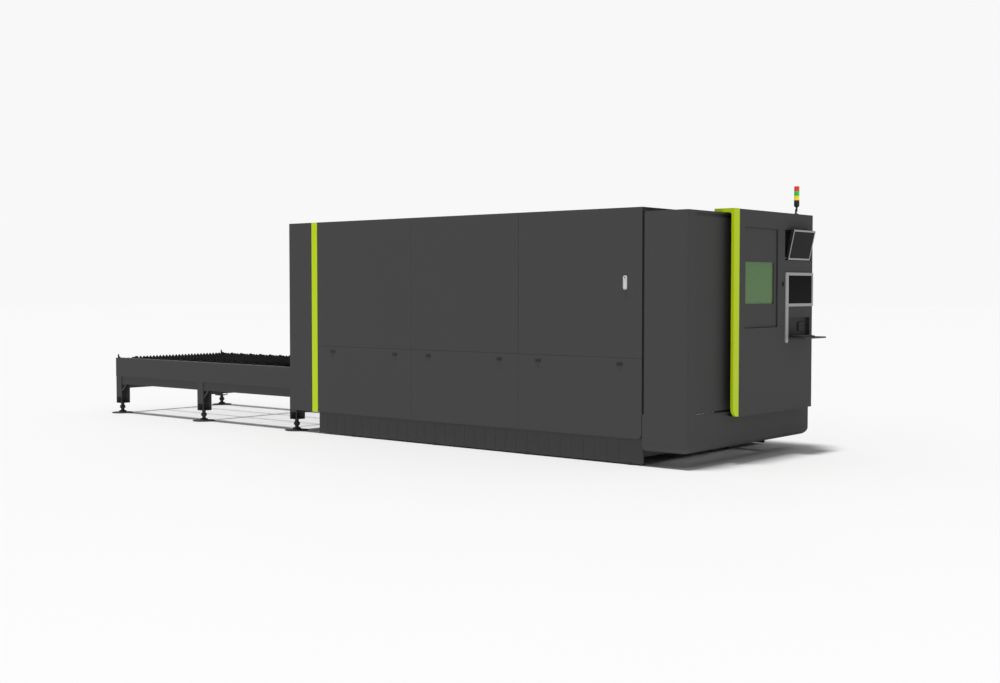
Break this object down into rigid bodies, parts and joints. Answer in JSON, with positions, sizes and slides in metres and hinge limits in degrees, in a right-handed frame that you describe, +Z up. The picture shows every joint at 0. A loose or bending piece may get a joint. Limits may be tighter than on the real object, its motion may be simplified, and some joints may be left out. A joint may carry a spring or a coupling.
{
  "type": "fiber laser cutting machine",
  "caption": "Enclosed sheet laser cutter with a pallet exchange table, lime-trimmed operator module, side access doors and a gantry cutting head inside.",
  "frame": {"origin": "bottom centre of the bounding box, on the floor", "axes": "+X along the machine towards the operator end, +Y across it away from the side with the fold-down doors, +Z up"},
  "size_m": [9.062, 2.388, 2.621],
  "materials": {
    "grey_paint": "fine textured dark grey powder coat",
    "graphite_paint": "darker grey powder coat",
    "lime_paint": "satin lime green paint",
    "white_plastic": "matt off-white",
    "light_grey_plastic": "matt light grey",
    "black_plastic": "matt black",
    "screen_glass": "glossy dark screen",
    "laser_glass": "green laser safety glass",
    "steel": "ground steel",
    "slat_steel": "dark mill-scale steel",
    "bed_paint": "grey machine paint",
    "black_steel": "semi-matt black",
    "aluminium": "satin anodised",
    "brass": "turned brass",
    "motor_black": "black motor paint",
    "red_lens": "translucent red",
    "green_lens": "translucent green",
    "yellow_lens": "translucent yellow",
    "galvanised": "galvanised sheet",
    "cabinet_paint": "light grey cabinet paint"
  },
  "bodies": {
    "machine_base": {"bed_frame": "bed_paint", "levelling_feet": "black_steel", "scrap_trays": "galvanised", "x_axis_rails": "steel", "table_frame": "grey_paint", "base_plinths": "graphite_paint", "near_upper_panels": "grey_paint", "far_panels": "grey_paint", "roof_panels": "grey_paint", "rear_portal": "grey_paint", "portal_strips": "lime_paint", "front_end_shell": "grey_paint", "front_skirt": "grey_paint", "sliding_door_tracks": "black_steel", "module_shell": "grey_paint", "module_recesses": "graphite_paint", "module_trim": "lime_paint", "screen_frame": "white_plastic", "operator_screen": "screen_glass", "monitor_pivot_bar": "steel", "keyboard_tray_pin": "steel", "pendant": "black_plastic", "tower_mount": "black_plastic", "control_cabinet": "cabinet_paint", "laser_source": "cabinet_paint", "fume_duct": "galvanised", "enclosure_frame": "black_steel"},
    "gantry": {"gantry_beam": "bed_paint", "gantry_end_carriages": "bed_paint", "x_drive_motors": "motor_black", "y_axis_rails": "steel"},
    "cross_carriage_body": {"cross_carriage": "aluminium"},
    "head": {"z_slide": "steel", "cutting_head": "aluminium", "nozzle": "brass"},
    "inner_pallet": {"inner_pallet_frame": "black_steel", "inner_pallet_slats": "slat_steel"},
    "outer_pallet": {"outer_pallet_frame": "black_steel", "outer_pallet_slats": "slat_steel"},
    "side_door_leaf": {"side_door": "grey_paint", "side_door_escutcheon": "white_plastic"},
    "side_door_lever": {"side_door_handle": "white_plastic"},
    "left_door": {"left_lower_door": "grey_paint"},
    "middle_door": {"middle_lower_door": "grey_paint"},
    "right_door": {"right_lower_door": "grey_paint"},
    "left_latches": {"left_door_latches": "black_plastic"},
    "middle_latches": {"middle_door_latches": "black_plastic"},
    "right_latches": {"right_door_latches": "black_plastic"},
    "front_door": {"sliding_door": "grey_paint"},
    "hatch": {"viewing_hatch": "grey_paint", "laser_window": "laser_glass"},
    "hatch_knob": {"hatch_lock": "white_plastic"},
    "monitor_head": {"monitor": "light_grey_plastic", "monitor_screen": "screen_glass"},
    "tray": {"keyboard_tray": "light_grey_plastic", "keyboard": "black_plastic"},
    "tower": {"tower_base": "black_plastic", "tower_red": "red_lens", "tower_green": "green_lens", "tower_yellow": "yellow_lens"}
  },
  "joints": [
    {"name": "gantry_travel", "type": "slide", "parent": "machine_base", "child": "gantry", "axis": [1, 0, 0], "range_m": [-3.2, 0]},
    {"name": "cross_travel", "type": "slide", "parent": "gantry", "child": "cross_carriage_body", "axis": [0, 1, 0], "range_m": [-0.62, 0.62]},
    {"name": "head_lift", "type": "slide", "parent": "cross_carriage_body", "child": "head", "axis": [0, 0, 1], "range_m": [-0.19, 0]},
    {"name": "outer_pallet_slide", "type": "slide", "parent": "machine_base", "child": "outer_pallet", "axis": [1, 0, 0], "range_m": [0, 3.96]},
    {"name": "inner_pallet_slide", "type": "slide", "parent": "machine_base", "child": "inner_pallet", "axis": [1, 0, 0], "range_m": [-3.96, 0]},
    {"name": "side_door_hinge", "type": "hinge", "parent": "machine_base", "child": "side_door_leaf", "pos_m": [2.3265, -1.1295, 1.665], "axis": [0, 0, 1], "range_deg": [-90, 0]},
    {"name": "side_door_lever_lift", "type": "hinge", "parent": "side_door_leaf", "child": "side_door_lever", "pos_m": [3.574, -1.142, 1.696], "axis": [1, 0, 0], "range_deg": [-55, 0]},
    {"name": "left_door_fold", "type": "hinge", "parent": "machine_base", "child": "left_door", "pos_m": [0.161, -1.1295, 0.2505], "axis": [1, 0, 0], "range_deg": [0, 90]},
    {"name": "left_latch_slide", "type": "slide", "parent": "left_door", "child": "left_latches", "axis": [1, 0, 0], "range_m": [0, 0.02]},
    {"name": "middle_door_fold", "type": "hinge", "parent": "machine_base", "child": "middle_door", "pos_m": [1.599, -1.1295, 0.2505], "axis": [1, 0, 0], "range_deg": [0, 90]},
    {"name": "middle_latch_slide", "type": "slide", "parent": "middle_door", "child": "middle_latches", "axis": [1, 0, 0], "range_m": [0, 0.02]},
    {"name": "right_door_fold", "type": "hinge", "parent": "machine_base", "child": "right_door", "pos_m": [3.037, -1.1295, 0.2505], "axis": [1, 0, 0], "range_deg": [0, 90]},
    {"name": "right_latch_slide", "type": "slide", "parent": "right_door", "child": "right_latches", "axis": [1, 0, 0], "range_m": [0, 0.02]},
    {"name": "front_door_slide", "type": "slide", "parent": "machine_base", "child": "front_door", "axis": [0, 1, 0], "range_m": [0, 0.6]},
    {"name": "hatch_hinge", "type": "hinge", "parent": "machine_base", "child": "hatch", "pos_m": [4.3315, -0.3235, 1.712], "axis": [0, 0, 1], "range_deg": [-90, 0]},
    {"name": "hatch_lock_turn", "type": "hinge", "parent": "machine_base", "child": "hatch_knob", "pos_m": [4.35, 0.404, 1.657], "axis": [1, 0, 0], "range_deg": [0, 90]},
    {"name": "monitor_tilt", "type": "hinge", "parent": "machine_base", "child": "monitor_head", "pos_m": [4.336, 0.724, 1.91], "axis": [0, 1, 0], "range_deg": [-6, 12]},
    {"name": "tray_fold", "type": "hinge", "parent": "machine_base", "child": "tray", "pos_m": [4.342, 0.744, 1.133], "axis": [0, -1, 0], "range_deg": [0, 88]},
    {"name": "tower_fold", "type": "hinge", "parent": "machine_base", "child": "tower", "pos_m": [4.313, 0.744, 2.381], "axis": [0, -1, 0], "range_deg": [0, 90]}
  ],
  "couplings": [
    {"joint": "inner_pallet_slide", "follows": "outer_pallet_slide", "ratio": -1}
  ]
}
